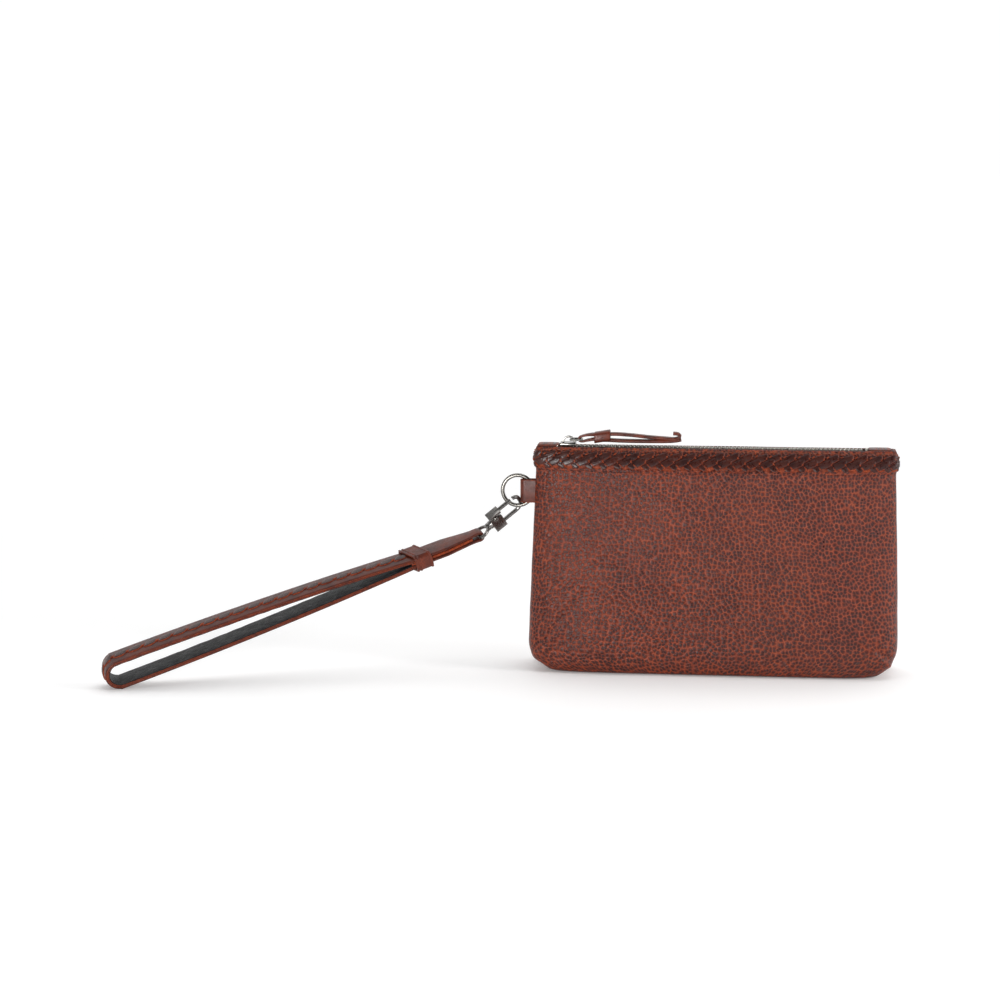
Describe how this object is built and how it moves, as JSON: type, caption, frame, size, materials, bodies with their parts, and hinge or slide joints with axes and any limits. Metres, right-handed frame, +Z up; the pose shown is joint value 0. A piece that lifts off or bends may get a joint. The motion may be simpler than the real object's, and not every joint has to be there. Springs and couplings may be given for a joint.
{
  "type": "zippered pouch",
  "caption": "Pebbled leather zip pouch with laced top edge, leather puller, side ring, swivel snap hook and clip-on laced wrist strap.",
  "frame": {"origin": "middle of the base, on the floor it stands on", "axes": "+Z up, +X along the zip from the closed end to the open end (the ring and strap are at -X), the front faces -Y"},
  "size_m": [0.4462, 0.1071, 0.1382],
  "materials": {
    "pebbled_leather": "pebbled, waxed",
    "base_leather": "pebbled",
    "lace_leather": "burnished",
    "strap_leather": "burnished",
    "lining_cloth": "plain weave",
    "stiffener_board": "board",
    "zip_tape": "herringbone weave",
    "teeth_metal": "nickel",
    "ring_metal": "polished nickel",
    "hook_metal": "dark nickel",
    "spring_steel": "wire"
  },
  "bodies": {
    "pouch": {"front_panel": "pebbled_leather", "back_panel": "pebbled_leather", "base_panel": "base_leather", "base_stiffener": "stiffener_board", "front_lining": "lining_cloth", "back_lining": "lining_cloth", "base_lining": "lining_cloth", "zip_end_left": "pebbled_leather", "zip_end_right": "pebbled_leather", "zip_far_stop": "teeth_metal", "zip_near_stops": "teeth_metal", "ring_tab": "pebbled_leather"},
    "front_rim": {"front_band": "pebbled_leather", "front_lacing": "lace_leather", "front_tape": "zip_tape", "front_teeth": "teeth_metal"},
    "back_rim": {"back_band": "pebbled_leather", "back_lacing": "lace_leather", "back_tape": "zip_tape", "back_teeth": "teeth_metal"},
    "slider": {"slider_body": "ring_metal", "slider_bridge": "ring_metal"},
    "link": {"pull_link": "ring_metal"},
    "puller": {"puller_thong": "pebbled_leather", "puller_wrap": "pebbled_leather"},
    "ring": {"o_ring": "ring_metal"},
    "hook": {"hook_body": "hook_metal", "gate_pin": "hook_metal", "gate_spring": "spring_steel"},
    "gate": {"hook_gate": "hook_metal"},
    "eye": {"swivel_eye": "hook_metal"},
    "strap": {"strap_leather": "strap_leather", "strap_lining": "lining_cloth", "strap_lacing": "lace_leather", "strap_keeper": "pebbled_leather", "strap_end": "strap_leather"}
  },
  "joints": [
    {"name": "zip_slide", "type": "slide", "parent": "pouch", "child": "slider", "axis": [1, 0, 0], "range_m": [0, 0.163]},
    {"name": "mouth_front", "type": "slide", "parent": "pouch", "child": "front_rim", "axis": [0, -1, 0], "range_m": [0, 0.016], "deforming": ["front_teeth", "front_tape"]},
    {"name": "mouth_back", "type": "slide", "parent": "pouch", "child": "back_rim", "axis": [0, 1, 0], "range_m": [0, 0.016], "deforming": ["back_teeth", "back_tape"]},
    {"name": "pull_link_hinge", "type": "hinge", "parent": "slider", "child": "link", "pos_m": [-0.0826, 0, 0.13325], "axis": [0, -1, 0], "range_deg": [0, 130]},
    {"name": "puller_hinge", "type": "hinge", "parent": "link", "child": "puller", "pos_m": [-0.076, 0, 0.13325], "axis": [0, -1, 0], "range_deg": [0, 45]},
    {"name": "ring_swing", "type": "hinge", "parent": "pouch", "child": "ring", "pos_m": [-0.1057, 0, 0.103], "axis": [0, 0, 1], "range_deg": [-25, 25]},
    {"name": "hook_on_ring", "type": "hinge", "parent": "ring", "child": "hook", "pos_m": [-0.113, 0, 0.103], "axis": [0, 1, 0], "range_deg": [0, 60]},
    {"name": "gate_hinge", "type": "hinge", "parent": "hook", "child": "gate", "pos_m": [-0.12636, -0.00595, 0.08834], "axis": [-0.5925, 0.6605, 0.4612], "range_deg": [0, 12], "stiffness_Nm_per_rad": 0.01, "springref_deg": -28.65},
    {"name": "swivel", "type": "hinge", "parent": "hook", "child": "eye", "pos_m": [-0.12972, -0.00461, 0.0821], "axis": [-0.7522, -0.2488, -0.6101], "continuous": true},
    {"name": "strap_hinge", "type": "hinge", "parent": "eye", "child": "strap", "pos_m": [-0.13536, -0.00648, 0.07753], "axis": [-0.3732, 0.9129, 0.165], "range_deg": [0, 70]}
  ],
  "couplings": [
    {"joint": "mouth_front", "follows": "zip_slide", "ratio": 0.098159},
    {"joint": "mouth_back", "follows": "zip_slide", "ratio": 0.098159}
  ]
}
